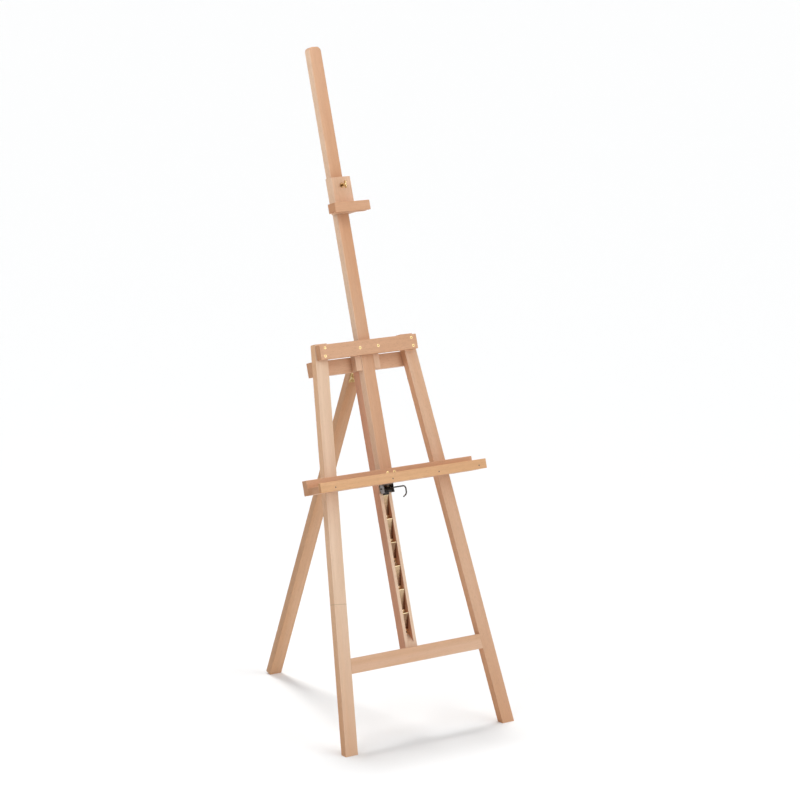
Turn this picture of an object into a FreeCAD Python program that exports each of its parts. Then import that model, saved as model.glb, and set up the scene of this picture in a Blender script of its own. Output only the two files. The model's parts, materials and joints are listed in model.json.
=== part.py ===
import FreeCAD, Part
import os
import re
import Sketcher
from FreeCAD import Placement, Rotation, Vector

# Studio easel in beech: two splayed front legs, a guide rail with a brass rack, a mast that
# carries the tray and slides on the rail, a top clip on the mast and one folding rear leg.
#
# Lengths are millimetres, angles degrees. The front frame is drawn in its own upright frame:
# X to the right, Y backwards from the front faces of the legs, Z up the slope from the floor.
# The rear leg is drawn from its hinge pin: Y backwards from the pin, Z up along the leg.

SIZES = {
    # boards and slope
    "board_width": 40, "board_thickness": 20, "edge_radius": 1, "lean": 18.3,
    "gap": 0.4, "hole_gap": 0.05, "pin_gap": 0.05,
    # front legs and lower crossbar
    "splay": 6.45, "foot_half_gap": 246.3, "leg_overhang": 4, "crossbar_bottom": 210,
    "dowel_radius": 4, "dowel_length": 40, "dowel_inset": 10,
    # guide rail, head rail, bridge and guide blocks
    "groove_width": 19, "groove_depth": 15, "rail_web": 12, "runout_above": 12,
    "runout_height": 20, "head_above_rack": 18, "head_inset": 5.5, "bridge_thickness": 18,
    "bridge_inset": 3.7, "block_width": 20, "rail_dowel_radius": 3, "rail_dowel_length": 30,
    # brass rack
    "sheet": 1.1, "tooth_pitch": 64, "strip_teeth": 3, "rack_teeth": 11, "strip_inset": 9,
    "first_tooth": 51, "tip_depth": 0.5, "root_gap": 1.4, "rack_gap": 0.5, "shelf_rise": 4,
    "foot_below": 6, "foot_above": 8, "root_pad": 6,
    # mast and tray
    "mast_length": 1193.5, "mast_corner": 13, "tray_half_length": 279, "shelf_depth": 48,
    "shelf_thickness": 19, "lip_thickness": 11, "lip_height": 26, "pin_left_inset": 48,
    "pin_mid_left": 41.5, "pin_mid_right": 114.5, "pin_right_inset": 26,
    "shelf_screw_inset": 59, "shelf_screw_inner": 75, "tray_screw_rise": 10,
    # ratchet under the tray; at rest the nose stands over one tooth of the rack
    "rest_tooth": 5, "nose_rest": 2.5,
    "bracket_half_width": 17.5, "bracket_sheet": 1.5, "bracket_base": 2, "bracket_drop": 24,
    "bracket_setback": 1.9, "rod_radius": 2, "rod_inset": 6, "rod_below_tray": 11.5,
    "rod_left_end": 20, "rod_straight": 57.5, "rod_bend": 8, "rod_drop": 7,
    "hook_bend": 12, "hook_angle": 60, "hook_end": 8,
    "pawl_left": 15.5, "pawl_right": 9.5, "pawl_ahead": 13, "pawl_behind": 5.3,
    "pawl_top": 3, "pawl_shoulder": 2.5, "pawl_bottom": 10.5, "nose_gap": 1.5,
    "nose_reach": 10.3, "nose_drop": 14, "nose_rise": 6, "nose_tip": 1.2, "nose_heel": 16,
    "spring_wire": 0.5, "spring_play": 0.45, "spring_pitch": 1.2, "spring_turns": 4,
    # top clip and its wing screw
    "clip_opening": 715.7, "clip_height": 98.8, "cheek_width": 10.9, "clip_front": 18.7,
    "clip_cheek": 8, "bar_half_length": 58.5, "bar_height": 26, "bar_depth": 32,
    "bar_groove_width": 9, "bar_groove_depth": 4, "bar_groove_back": 12.5, "clamp_rise": 75.3,
    "keeper_sheet": 1.5, "keeper_height": 24, "insert_wall": 2, "insert_length": 12,
    "flange_width": 2.5, "flange_thickness": 1, "wing_radius": 3, "wing_standoff": 7,
    "wing_hub_radius": 4.2, "wing_hub_tip": 3.2, "wing_hub_length": 10, "wing_disc_radius": 4.6,
    "wing_disc_offset": 6, "wing_reach": 8, "wing_thickness": 2.6,
    # rear leg and its hinge
    "spread": 38.5, "pin_above_head": 6, "leg_overrun": 26, "stop_gap": 0.3,
    "leaf_sheet": 1.5, "leaf_length": 38, "leaf_half_width": 18, "leaf_notch": 4,
    "knuckle_wall": 1.6, "knuckle_half": 5.8, "knuckle_gap": 0.3, "hinge_pin_radius": 1.6,
    "knuckle_clear": 0.05, "pin_head_radius": 2.6, "pin_head": 1, "leaf_screw_spread": 12,
    "leaf_screw_upper": 14, "leaf_screw_lower": 30,
    # wood screws: frame, tray and small
    "frame_screw_head": 4, "frame_screw": 2, "frame_screw_sink": 2.4, "frame_screw_bite": 11,
    "tray_screw_bite": 14, "small_screw_head": 3, "small_screw": 1.4, "small_screw_sink": 1.4,
    "small_screw_length": 11, "lip_pin_head": 2, "lip_pin": 1.1, "lip_pin_sink": 0.8,
    "lip_pin_bite": 17, "screw_spread": 11, "rack_screw_head": 3.2, "rack_screw_sink": 1.5,
}

# Sizes that follow from the ones above.
WORKED_OUT = {
    "rail_thickness": "groove_depth + rail_web",
    "rail_back": "board_thickness + rail_thickness",
    "crossbar_top": "crossbar_bottom + board_width",
    "runout_bottom": "crossbar_top + runout_above",
    "strip_screw": "runout_bottom + runout_height + strip_inset",
    "strip_pitch": "tooth_pitch * strip_teeth",
    "tip_start": "strip_screw + first_tooth",
    "tooth_depth": "groove_depth - tip_depth - sheet - root_gap",
    "rack_width": "groove_width - 2 * rack_gap",
    "head_bottom": "tip_start + tooth_pitch * (rack_teeth - 1) + head_above_rack",
    "head_top": "head_bottom + board_width",
    "bridge_bottom": "head_top",
    "bridge_top": "bridge_bottom + board_width",
    "head_middle": "head_bottom + board_width / 2",
    "bridge_middle": "bridge_bottom + board_width / 2",
    "leg_top": "bridge_top + leg_overhang",
    "leg_face": "board_width / cos(splay * 1 deg)",
    "mast_front": "0 - gap",
    "mast_back": "board_thickness - gap",
    "rod_z": "tip_start + tooth_pitch * rest_tooth + nose_rest + nose_drop",
    "rod_depth": "board_thickness - rod_inset",
    "tray_bottom": "rod_z + rod_below_tray",
    "mast_top": "tray_bottom + mast_length",
    "rear_lip_front": "mast_front - board_thickness",
    "shelf_front": "rear_lip_front - shelf_depth",
    "lip_front": "shelf_front - lip_thickness",
    "shelf_top": "tray_bottom + shelf_thickness",
    "bracket_front": "mast_front + bracket_setback",
    "bracket_back": "mast_back - gap",
    "spring_radius": "rod_radius + spring_play + spring_wire",
    "nose_half_width": "groove_width / 2 - nose_gap",
    "clip_bottom": "shelf_top + clip_opening",
    "clip_back": "mast_front - gap",
    "clip_inner": "board_width / 2 + gap",
    "clip_half_width": "clip_inner + cheek_width",
    "clamp_height": "clip_bottom + clamp_rise",
    "keeper_back": "mast_back + gap",
    "insert_radius": "wing_radius + insert_wall",
    "flange_radius": "insert_radius + flange_width",
    "knuckle_radius": "hinge_pin_radius + knuckle_wall",
    "pin_depth": "knuckle_radius + knuckle_clear",
    "pin_height": "head_bottom + pin_above_head",
    "pin_y": "rail_back + pin_depth",
    "pin_above_floor": "pin_height * cos(lean * 1 deg) - pin_y * sin(lean * 1 deg)",
    "pin_behind_front": "pin_height * sin(lean * 1 deg) + pin_y * cos(lean * 1 deg)",
    "rear_lean": "spread - lean",
    "rear_length": "(pin_above_floor + pin_depth * sin(rear_lean * 1 deg)) / cos(rear_lean * 1 deg)",
    "depth": "pin_behind_front + (pin_depth + board_thickness) * cos(rear_lean * 1 deg)"
             " + rear_length * sin(rear_lean * 1 deg)",
    "frame_screw_length": "rail_thickness + frame_screw_bite",
    "tray_screw_length": "board_thickness + tray_screw_bite",
    "lip_pin_length": "lip_thickness + lip_pin_bite",
}

# An edge shorter than this along an axis is square to that axis.
SQUARE = 0.01

SLOPE, LEG = "slope", "leg"
BACKWARD = Rotation(Vector(0, 0, 1), Vector(0, 1, 0))
FORWARD = Rotation(Vector(0, 0, 1), Vector(0, -1, 0))
RIGHTWARD = Rotation(Vector(0, 0, 1), Vector(1, 0, 0))
UPWARD = Rotation()
DOWNWARD = Rotation(Vector(0, 0, 1), Vector(0, 0, -1))

doc = FreeCAD.newDocument("StudioEasel")
sheet = doc.addObject("Spreadsheet::Sheet", "Sizes")
for row, (alias, number) in enumerate(SIZES.items(), start=1):
    sheet.set("A%d" % row, alias)
    sheet.set("B%d" % row, str(number))
    sheet.setAlias("B%d" % row, alias)
doc.recompute()

pieces = {}
frames = {}


# ---------------------------------------------------------------- drawing with the sheet

def expand(formula):
    """Turn a formula of plain size names into an expression on the spreadsheet."""
    def reference(match):
        name = match.group(0)
        if name in WORKED_OUT:
            return "(" + expand(WORKED_OUT[name]) + ")"
        return "Sizes." + name if name in SIZES else name
    return re.sub(r"[a-z][a-z_]*", reference, formula)


def value(formula):
    return float(sheet.evalExpression(expand(formula)))


def bind(item, **formulas):
    for name, formula in formulas.items():
        item.setExpression(name, expand(formula))


def put(item, x, y, z, turn=UPWARD):
    """Place an item by three formulas and a fixed turn."""
    item.Placement = Placement(Vector(value(x), value(y), value(z)), turn)
    for axis, formula in zip("xyz", (x, y, z)):
        item.setExpression("Placement.Base." + axis, expand(formula))
    return item


def add_sketch(body, role, start):
    """A sketch on one of the body's origin planes, moved along the missing axis to start."""
    sketch = body.newObject("Sketcher::SketchObject", "Outline")
    plane = [item for item in body.Origin.OriginFeatures if item.Role == role][0]
    sketch.AttachmentSupport = [(plane, "")]
    sketch.MapMode = "FlatFace"
    side = "0 - (%s)" if role == "XZ_Plane" else "%s"
    sketch.setExpression("AttachmentOffset.Base.z", expand(side % start))
    return sketch


def draw(sketch, corners):
    """A closed outline of straight lines whose corners are bound to formulas."""
    points = [Vector(value(x), value(y), 0) for x, y in corners]
    for index, point in enumerate(points):
        sketch.addGeometry(Part.LineSegment(point, points[(index + 1) % len(points)]))
    for index in range(len(points)):
        sketch.addConstraint(Sketcher.Constraint("Coincident", index, 2, (index + 1) % len(points), 1))
    for index, (x, y) in enumerate(corners):
        for kind, formula in (("DistanceX", x), ("DistanceY", y)):
            number = sketch.addConstraint(Sketcher.Constraint(kind, -1, 1, index, 1, value(formula)))
            sketch.setExpression("Constraints[%d]" % number, expand(formula))


def add_body(label, role, start, thickness, corners, frame=SLOPE):
    """A body padded from an outline on an origin plane, towards the positive axis."""
    body = doc.addObject("PartDesign::Body", label + "_body")
    sketch = add_sketch(body, role, start)
    draw(sketch, corners)
    pad = body.newObject("PartDesign::Pad", "Pad")
    pad.Profile = sketch
    bind(pad, Length=thickness)
    pad.Reversed = role == "XZ_Plane"
    doc.recompute()
    pieces[label] = body
    frames[label] = frame
    return body


def add_board(label, x, y, z, frame=SLOPE):
    """A straight board between three pairs of limits, with its long edges eased."""
    (left, right), (front, back), (low, high) = x, y, z
    corners = [(left, low), (right, low), (right, high), (left, high)]
    body = add_body(label, "XZ_Plane", front, "(%s) - (%s)" % (back, front), corners, frame)
    ease(body)
    return body


def pocket(body, role, start, thickness, corners):
    """Cut an outline out of a body, towards the positive axis, and check that it cuts."""
    before = body.Shape.Volume
    sketch = add_sketch(body, role, start)
    draw(sketch, corners)
    cut = body.newObject("PartDesign::Pocket", "Pocket")
    cut.Profile = sketch
    bind(cut, Length=thickness)
    cut.Reversed = role != "XZ_Plane"
    doc.recompute()
    if body.Shape.Volume >= before:
        raise RuntimeError("a pocket in %s cuts nothing" % body.Label)


def ease(body, radius="edge_radius", chosen=None):
    """Round the chosen edges of a body, or all of them."""
    names = []
    for number, edge in enumerate(body.Tip.Shape.Edges, start=1):
        if chosen is None or chosen(edge):
            names.append("Edge%d" % number)
    fillet = body.newObject("PartDesign::Fillet", "Eased")
    fillet.Base = (body.Tip if body.Tip != fillet else fillet.BaseFeature, names)
    bind(fillet, Radius=radius)
    doc.recompute()


def runs_along(axis):
    """Picks the edges that are longer than a board is wide along one axis."""
    return lambda edge: getattr(edge.BoundBox, axis + "Length") > value("board_width")


def square_to(axis):
    """Picks the edges that lie in a face square to one axis."""
    return lambda edge: getattr(edge.BoundBox, axis + "Length") < SQUARE


def cylinder(radius, height, x, y, z, turn=UPWARD):
    item = doc.addObject("Part::Cylinder", "Cylinder")
    bind(item, Radius=radius, Height=height)
    return put(item, x, y, z, turn)


def cone(base, top, height, x, y, z, turn=UPWARD):
    item = doc.addObject("Part::Cone", "Cone")
    bind(item, Radius1=base, Radius2=top, Height=height)
    return put(item, x, y, z, turn)


def bend(major, minor, angle, x, y, z, turn):
    item = doc.addObject("Part::Torus", "Bend")
    bind(item, Radius1=major, Radius2=minor, Angle3=angle)
    return put(item, x, y, z, turn)


def fuse(items):
    if len(items) == 1:
        return items[0]
    joined = doc.addObject("Part::MultiFuse", "Joined")
    joined.Shapes = items
    return joined


def group(items):
    if len(items) == 1:
        return items[0]
    together = doc.addObject("Part::Compound", "Group")
    together.Links = items
    return together


def keep(label, item, frame=SLOPE):
    pieces[label] = item
    frames[label] = frame


def cut(label, tool):
    """Take a tool away from a piece; the cut then stands for the piece."""
    item = doc.addObject("Part::Cut", label + "_cut")
    item.Base = pieces[label]
    item.Tool = tool
    pieces[label] = item


# ---------------------------------------------------------------- fasteners

def along(spot, turn, distance):
    """The spot moved by a distance along the way a fastener is driven."""
    way = turn.multVec(Vector(0, 0, 1))
    return ["(%s) + %d * (%s)" % (place, round(step), distance) if round(step) else place
            for place, step in zip(spot, way)]


def screw(spot, turn, family, length, slack="0"):
    """A countersunk screw driven from its head face, or with slack, the hole it needs."""
    head, shank, sink = family + "_head", family, family + "_sink"
    top = cone("%s + %s" % (head, slack), "%s + %s" % (shank, slack), sink, *spot, turn)
    start = along(spot, turn, sink)
    body = cylinder("%s + %s" % (shank, slack), "%s - %s + %s" % (length, sink, slack), *start, turn)
    return fuse([top, body])


def add_screws(label, spots, turn, family, length, through, frame=SLOPE):
    """A node of like screws, and their holes in every piece they go through."""
    keep(label, group([screw(spot, turn, family, length) for spot in spots]), frame)
    for piece in through:
        cut(piece, group([screw(spot, turn, family, length, "hole_gap") for spot in spots]))


def add_dowels(label, spots, turn, radius, length, through):
    """A node of like dowels, and their blind holes in the pieces they join."""
    keep(label, group([cylinder(radius, length, *spot, turn) for spot in spots]))
    for piece in through:
        holes = []
        for spot in spots:
            start = along(spot, turn, "0 - hole_gap")
            size = ("%s + hole_gap" % radius, "%s + 2 * hole_gap" % length)
            holes.append(cylinder(*size, *start, turn))
        cut(piece, group(holes))


# ---------------------------------------------------------------- front legs and crossbar

def inner_edge(height):
    """Distance from the middle to a leg's inner edge at a height up the slope."""
    return "(foot_half_gap - (%s) * tan(splay * 1 deg))" % height


def outer_edge(height):
    return "(%s + leg_face)" % inner_edge(height)


def mirrored(sign, formula):
    return formula if sign > 0 else "0 - (%s)" % formula


for label, sign in (("left_leg", -1), ("right_leg", 1)):
    leg = add_body(label, "XZ_Plane", "0", "board_thickness", [
        (mirrored(sign, inner_edge("0")), "0"),
        (mirrored(sign, outer_edge("0")), "0"),
        (mirrored(sign, outer_edge("leg_top")), "leg_top"),
        (mirrored(sign, inner_edge("leg_top")), "leg_top")])
    ease(leg, chosen=runs_along("Z"))
    pocket(leg, "YZ_Plane", "0 - 2 * foot_half_gap", "4 * foot_half_gap", [
        ("0", "0"),
        ("2 * board_thickness", "2 * board_thickness * tan(lean * 1 deg)"),
        ("2 * board_thickness", "0 - board_thickness"),
        ("0", "0 - board_thickness")])

crossbar = add_body("lower_crossbar", "XZ_Plane", "0", "board_thickness", [
    (mirrored(-1, inner_edge("crossbar_bottom")), "crossbar_bottom"),
    (inner_edge("crossbar_bottom"), "crossbar_bottom"),
    (inner_edge("crossbar_top"), "crossbar_top"),
    (mirrored(-1, inner_edge("crossbar_top")), "crossbar_top")])
ease(crossbar, chosen=runs_along("X"))

dowel_spots = []
for height in ("crossbar_bottom + dowel_inset", "crossbar_top - dowel_inset"):
    for side in (mirrored(-1, inner_edge(height)), inner_edge(height)):
        dowel_spots.append(("%s - dowel_length / 2" % side, "board_thickness / 2", height))
add_dowels("crossbar_dowels", dowel_spots, RIGHTWARD, "dowel_radius", "dowel_length",
           ["left_leg", "right_leg", "lower_crossbar"])

# ---------------------------------------------------------------- guide rail and head

half = "board_width / 2"
rail = add_board("guide_rail", ("0 - " + half, half), ("board_thickness", "rail_back"),
                 ("crossbar_bottom", "head_bottom"))
pocket(rail, "YZ_Plane", "0 - groove_width / 2", "groove_width", [
    ("0", "runout_bottom"),
    ("board_thickness", "runout_bottom"),
    ("board_thickness + groove_depth", "runout_bottom + runout_height"),
    ("board_thickness + groove_depth", "head_bottom + board_width"),
    ("0", "head_bottom + board_width")])

head_end = "(%s - head_inset)" % outer_edge("head_bottom")
add_board("head_rail", ("0 - " + head_end, head_end),
          ("board_thickness", "rail_back"), ("head_bottom", "head_top"))
bridge_end = "(%s - bridge_inset)" % outer_edge("bridge_middle")
bridge = add_board("front_bridge", ("0 - " + bridge_end, bridge_end),
                   ("0 - bridge_thickness", "0"), ("bridge_bottom", "bridge_top"))
pocket(bridge, "XZ_Plane", "0 - 2 * gap", "4 * gap", [
    ("0 - clip_inner", "0"), ("clip_inner", "0"),
    ("clip_inner", "2 * bridge_top"), ("0 - clip_inner", "2 * bridge_top")])
add_board("left_guide_block", ("0 - clip_inner - block_width", "0 - clip_inner"),
          ("0", "board_thickness"), ("head_bottom", "bridge_top"))
add_board("right_guide_block", ("clip_inner", "clip_inner + block_width"),
          ("0", "board_thickness"), ("head_bottom", "bridge_top"))

add_dowels("rail_dowels",
           [("(board_width + groove_width) / 4 * %d" % side, "board_thickness + groove_depth / 2",
             "head_bottom - rail_dowel_length / 2") for side in (-1, 1)],
           UPWARD, "rail_dowel_radius", "rail_dowel_length", ["guide_rail", "head_rail"])
add_screws("rail_screws",
           [("0", "rail_back", "crossbar_bottom + board_width / 2 - screw_spread * %d" % side)
            for side in (-1, 1)],
           FORWARD, "frame_screw", "frame_screw_length", ["guide_rail", "lower_crossbar"])


def leg_middle(height):
    return "(%s + leg_face / 2)" % inner_edge(height)


head_spots = []
bridge_spots = []
for side in (-1, 1):
    for step in (-1, 1):
        height = "head_middle + screw_spread * %d" % step
        head_spots.append((mirrored(side, leg_middle(height)), "rail_back", height))
        height = "bridge_middle + screw_spread * %d" % step
        bridge_spots.append((mirrored(side, leg_middle(height)), "0 - bridge_thickness", height))
add_screws("head_screws", head_spots, FORWARD, "frame_screw", "frame_screw_length",
           ["head_rail", "left_leg", "right_leg"])
add_screws("bridge_screws", bridge_spots, BACKWARD, "frame_screw", "tray_screw_length",
           ["front_bridge", "left_leg", "right_leg"])
block_middle = "(clip_inner + block_width / 2)"
blocks = ["left_guide_block", "right_guide_block"]
add_screws("guide_block_front_screws",
           [(mirrored(side, block_middle), "0 - bridge_thickness", "bridge_middle")
            for side in (-1, 1)],
           BACKWARD, "frame_screw", "tray_screw_length", ["front_bridge"] + blocks)
add_screws("guide_block_rear_screws",
           [(mirrored(side, block_middle), "rail_back", "head_middle") for side in (-1, 1)],
           FORWARD, "frame_screw", "frame_screw_length", ["head_rail"] + blocks)

# ---------------------------------------------------------------- brass rack

groove_floor = "board_thickness + groove_depth"
tip_y = "board_thickness + tip_depth"
root_y = "board_thickness + tip_depth + tooth_depth"
STRIPS = ["rack_strip_lower", "rack_strip_second", "rack_strip_third", "rack_strip_upper"]

rack_spots = []
for order, label in enumerate(STRIPS):
    teeth = int(min(value("strip_teeth"), value("rack_teeth") - order * value("strip_teeth")))
    hole = "strip_screw + strip_pitch * %d" % order
    path = [("%s - sheet" % groove_floor, "%s - foot_below" % hole),
            ("%s - sheet" % groove_floor, "%s + foot_above" % hole)]
    for tooth in range(teeth):
        tip = "%s + first_tooth + tooth_pitch * %d" % (hole, tooth)
        path.append((tip_y, tip))
        path.append((root_y, "%s + shelf_rise" % tip))
        if tooth < teeth - 1:
            path.append((root_y, "%s + shelf_rise + root_pad" % tip))
    back = [("%s + sheet" % y, "%s - sheet" % z) for y, z in path[1:]]
    back.insert(0, (groove_floor, "%s - foot_below" % hole))
    add_body(label, "YZ_Plane", "0 - rack_width / 2", "rack_width", path + back[::-1])
    rack_spots.append(("0", "%s - sheet - rack_screw_sink" % groove_floor, hole))

heads = []
for spot in rack_spots:
    head = cone("small_screw", "rack_screw_head", "rack_screw_sink", *spot, BACKWARD)
    start = along(spot, BACKWARD, "rack_screw_sink")
    shank = cylinder("small_screw", "small_screw_length", *start, BACKWARD)
    heads.append(fuse([head, shank]))
keep("rack_screws", group(heads))
for label in STRIPS + ["guide_rail"]:
    cut(label, group([cylinder("small_screw + hole_gap", "small_screw_length + 2 * rack_screw_sink",
                               *spot, BACKWARD) for spot in rack_spots]))

# ---------------------------------------------------------------- mast and tray

mast = add_body("mast", "XZ_Plane", "mast_front", "board_thickness", [
    ("0 - " + half, "tray_bottom"), (half, "tray_bottom"),
    (half, "mast_top"), ("0 - " + half, "mast_top")])
ease(mast, "mast_corner",
     lambda edge: edge.BoundBox.ZMin > value("mast_top") - SQUARE and square_to("X")(edge))
ease(mast, "edge_radius", square_to("Y"))

tray_span = ("0 - tray_half_length", "tray_half_length")
add_board("tray_rear_lip", tray_span, ("rear_lip_front", "mast_front"),
          ("tray_bottom", "tray_bottom + board_width"))
add_board("tray_shelf", tray_span, ("shelf_front", "rear_lip_front"),
          ("tray_bottom", "shelf_top"))
add_board("tray_front_lip", tray_span, ("lip_front", "shelf_front"),
          ("tray_bottom", "tray_bottom + lip_height"))
add_screws("lip_pins",
           [(place, "lip_front", "tray_bottom + shelf_thickness / 2") for place in
            ("pin_left_inset - tray_half_length", "0 - pin_mid_left", "pin_mid_right",
             "tray_half_length - pin_right_inset")],
           BACKWARD, "lip_pin", "lip_pin_length", ["tray_front_lip", "tray_shelf"])
add_screws("shelf_screws",
           [(mirrored(side, place), "mast_front", "tray_bottom + shelf_thickness / 2")
            for place in ("tray_half_length - shelf_screw_inset", "shelf_screw_inner")
            for side in (-1, 1)],
           FORWARD, "frame_screw", "frame_screw_length", ["tray_rear_lip", "tray_shelf"])
add_screws("tray_screws",
           [("screw_spread * %d" % side, "rear_lip_front", "shelf_top + tray_screw_rise")
            for side in (-1, 1)],
           BACKWARD, "frame_screw", "tray_screw_length", ["tray_rear_lip", "mast"])

# ---------------------------------------------------------------- ratchet under the tray

bracket = add_body("ratchet_bracket", "XZ_Plane", "bracket_front", "bracket_back - bracket_front", [
    ("0 - bracket_half_width", "tray_bottom - bracket_drop"),
    ("bracket_sheet - bracket_half_width", "tray_bottom - bracket_drop"),
    ("bracket_sheet - bracket_half_width", "tray_bottom - bracket_base"),
    ("bracket_half_width - bracket_sheet", "tray_bottom - bracket_base"),
    ("bracket_half_width - bracket_sheet", "tray_bottom - bracket_drop"),
    ("bracket_half_width", "tray_bottom - bracket_drop"),
    ("bracket_half_width", "tray_bottom"),
    ("0 - bracket_half_width", "tray_bottom")])
cut("ratchet_bracket", cylinder("rod_radius + pin_gap", "4 * bracket_half_width",
                                "0 - 2 * bracket_half_width", "rod_depth", "rod_z", RIGHTWARD))
add_screws("bracket_screws",
           [("screw_spread * %d" % side, "board_thickness / 2", "tray_bottom - bracket_base")
            for side in (-1, 1)],
           UPWARD, "small_screw", "small_screw_length", ["ratchet_bracket", "mast"])

add_body("pawl", "YZ_Plane", "0 - pawl_left", "pawl_left + pawl_right", [
    ("rod_depth - pawl_ahead", "rod_z - pawl_bottom"),
    ("rod_depth - pawl_ahead", "rod_z - pawl_shoulder"),
    ("rod_depth - 2 * pawl_shoulder", "rod_z + pawl_top"),
    ("rod_depth + pawl_top", "rod_z + pawl_top"),
    ("rod_depth + pawl_behind", "rod_z - 2 * rod_radius"),
    ("rod_depth + pawl_behind", "rod_z - pawl_bottom")])
add_body("pawl_nose", "YZ_Plane", "0 - nose_half_width", "2 * nose_half_width", [
    ("rod_depth", "rod_z - nose_heel"),
    ("rod_depth + nose_reach - nose_rise", "rod_z - nose_heel"),
    ("rod_depth + nose_reach", "rod_z - nose_drop"),
    ("rod_depth + nose_reach", "rod_z - nose_drop + nose_tip"),
    ("rod_depth + nose_reach - nose_rise", "rod_z - nose_rise"),
    ("rod_depth", "rod_z - nose_rise")])
keep("pawl", fuse([pieces["pawl"], pieces.pop("pawl_nose")]))
cut("pawl", cylinder("rod_radius + pin_gap", "4 * bracket_half_width",
                     "0 - 2 * bracket_half_width", "rod_depth", "rod_z", RIGHTWARD))

ring_turn = Rotation(Vector(1, 0, 0), 90)
hook_turn = Rotation(Vector(1, 0, 0), -90)
bend_centre = ("rod_straight", "rod_depth", "rod_z - rod_bend")
drop_top = ("rod_straight + rod_bend", "rod_depth", "rod_z - rod_bend")
hook_centre = ("rod_straight + rod_bend - hook_bend", "rod_depth", "rod_z - rod_bend - rod_drop")
hook_tip = ("rod_straight + rod_bend - hook_bend + hook_bend * cos(hook_angle * 1 deg)",
            "rod_depth",
            "rod_z - rod_bend - rod_drop - hook_bend * sin(hook_angle * 1 deg)")
hook_way = Rotation(Vector(0, 1, 0), 180 + value("hook_angle"))
lever = [
    cylinder("rod_radius", "rod_left_end + rod_straight", "0 - rod_left_end", "rod_depth",
             "rod_z", RIGHTWARD),
    bend("rod_bend", "rod_radius", "90", *bend_centre, ring_turn),
    cylinder("rod_radius", "rod_drop", *drop_top, DOWNWARD),
    bend("hook_bend", "rod_radius", "hook_angle", *hook_centre, hook_turn),
    cylinder("rod_radius", "hook_end", *hook_tip, hook_way)]
keep("release_lever", fuse(lever))

helix = doc.addObject("Part::Helix", "CoilPath")
bind(helix, Pitch="spring_pitch", Height="spring_pitch * spring_turns", Radius="spring_radius")
wire = doc.addObject("Part::Circle", "CoilWire")
bind(wire, Radius="spring_wire")
put(wire, "spring_radius", "0", "0", Rotation(Vector(1, 0, 0), 90))
coil = doc.addObject("Part::Sweep", "Coil")
coil.Sections = [wire]
coil.Spine = (helix, ["Edge1"])
coil.Solid = True
coil.Frenet = True
spring = doc.addObject("Part::Compound", "Spring")
spring.Links = [coil]
put(spring, "pawl_right + 2 * spring_wire", "rod_depth", "rod_z", RIGHTWARD)
holder = doc.addObject("Part::Compound", "SpringHolder")
holder.Links = [spring]
keep("pawl_spring", holder)

# ---------------------------------------------------------------- top clip

clip_top = "clip_bottom + clip_height"
plate = add_body("clip_plate", "XY_Plane", "clip_bottom", "clip_height", [
    ("0 - clip_half_width", "0 - clip_front"), ("clip_half_width", "0 - clip_front"),
    ("clip_half_width", "clip_cheek"), ("clip_inner", "clip_cheek"),
    ("clip_inner", "clip_back"), ("0 - clip_inner", "clip_back"),
    ("0 - clip_inner", "clip_cheek"), ("0 - clip_half_width", "clip_cheek")])
ease(plate, chosen=lambda edge: edge.BoundBox.YMax < SQUARE - value("clip_front"))

bar_front = "0 - clip_front - bar_depth"
bar = add_board("clip_bar", ("0 - bar_half_length", "bar_half_length"),
                (bar_front, "0 - clip_front"), ("clip_bottom", "clip_bottom + bar_height"))
pocket(bar, "YZ_Plane", "0 - 2 * bar_half_length", "4 * bar_half_length", [
    ("0 - clip_front - bar_groove_back - bar_groove_width", "0"),
    ("0 - clip_front - bar_groove_back", "0"),
    ("0 - clip_front - bar_groove_back", "clip_bottom + bar_groove_depth"),
    ("0 - clip_front - bar_groove_back - bar_groove_width", "clip_bottom + bar_groove_depth")])
add_screws("clip_bar_screws",
           [("screw_spread * %d" % side, "clip_back", "clip_bottom + bar_height / 2")
            for side in (-1, 1)],
           FORWARD, "frame_screw", "frame_screw_length", ["clip_plate", "clip_bar"])

outer = "(clip_inner + keeper_sheet)"
flange = "(clip_half_width - edge_radius)"
keeper = add_body("clip_keeper", "XY_Plane", "clamp_height - keeper_height / 2", "keeper_height", [
    ("clip_inner", "clip_cheek"), (flange, "clip_cheek"),
    (flange, "clip_cheek + keeper_sheet"), (outer, "clip_cheek + keeper_sheet"),
    (outer, "keeper_back + keeper_sheet"), ("0 - %s" % outer, "keeper_back + keeper_sheet"),
    ("0 - %s" % outer, "clip_cheek + keeper_sheet"), ("0 - %s" % flange, "clip_cheek + keeper_sheet"),
    ("0 - %s" % flange, "clip_cheek"), ("0 - clip_inner", "clip_cheek"),
    ("0 - clip_inner", "keeper_back"), ("clip_inner", "keeper_back")])
flange_middle = "((%s + %s) / 2)" % (outer, flange)
add_screws("keeper_screws",
           [(mirrored(side, flange_middle), "clip_cheek + keeper_sheet",
             "clamp_height + keeper_height / 4 * %d" % step)
            for side in (-1, 1) for step in (-1, 1)],
           FORWARD, "small_screw", "small_screw_length", ["clip_keeper", "clip_plate"])

insert_front = "0 - clip_front - flange_thickness"
keep("clamp_insert", fuse([
    cylinder("flange_radius", "flange_thickness", "0", insert_front, "clamp_height", BACKWARD),
    cylinder("insert_radius", "insert_length", "0", "0 - clip_front", "clamp_height", BACKWARD)]))
cut("clamp_insert", cylinder("wing_radius + pin_gap", "2 * clip_front", "0",
                             "0 - 2 * clip_front", "clamp_height", BACKWARD))
cut("clip_plate", cylinder("insert_radius + hole_gap", "2 * clip_front", "0",
                           "0 - clip_front", "clamp_height", BACKWARD))

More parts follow.
